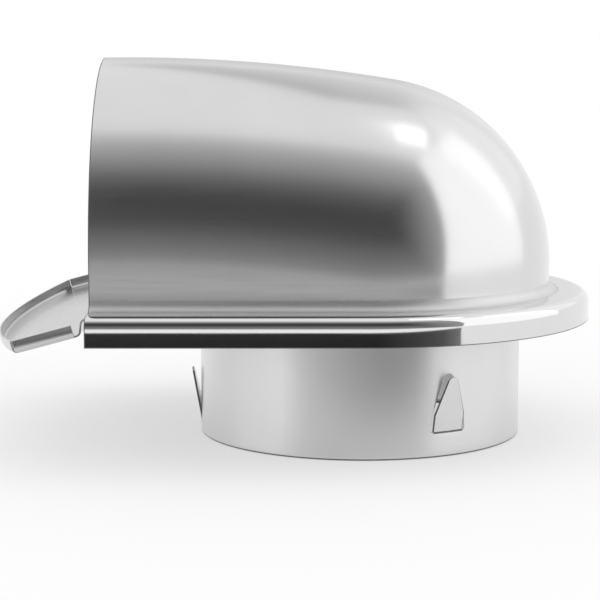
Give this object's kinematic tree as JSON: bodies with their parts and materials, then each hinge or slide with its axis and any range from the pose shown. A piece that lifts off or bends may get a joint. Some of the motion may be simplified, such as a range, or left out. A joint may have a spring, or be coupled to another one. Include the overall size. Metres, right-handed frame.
{
  "type": "ventilation cap",
  "caption": "Stainless wall cap for a round duct: drawn hood with a side mouth, U-shaped flange, tilted drip tongue and a spigot with spring tabs.",
  "frame": {"origin": "on the duct axis in the wall plane, at the foot of the flange lip", "axes": "+Z away from the wall along the duct axis, -X toward the mouth of the hood, +Y across"},
  "size_m": [0.179, 0.14, 0.1143],
  "materials": {
    "hood_steel": "satin hood, bright flange",
    "pan_steel": "bright rolled sheet",
    "spigot_steel": "satin"
  },
  "bodies": {
    "root": {"hood_shell": "hood_steel", "base_pan": "pan_steel", "spigot": "spigot_steel"}
  },
  "joints": []
}
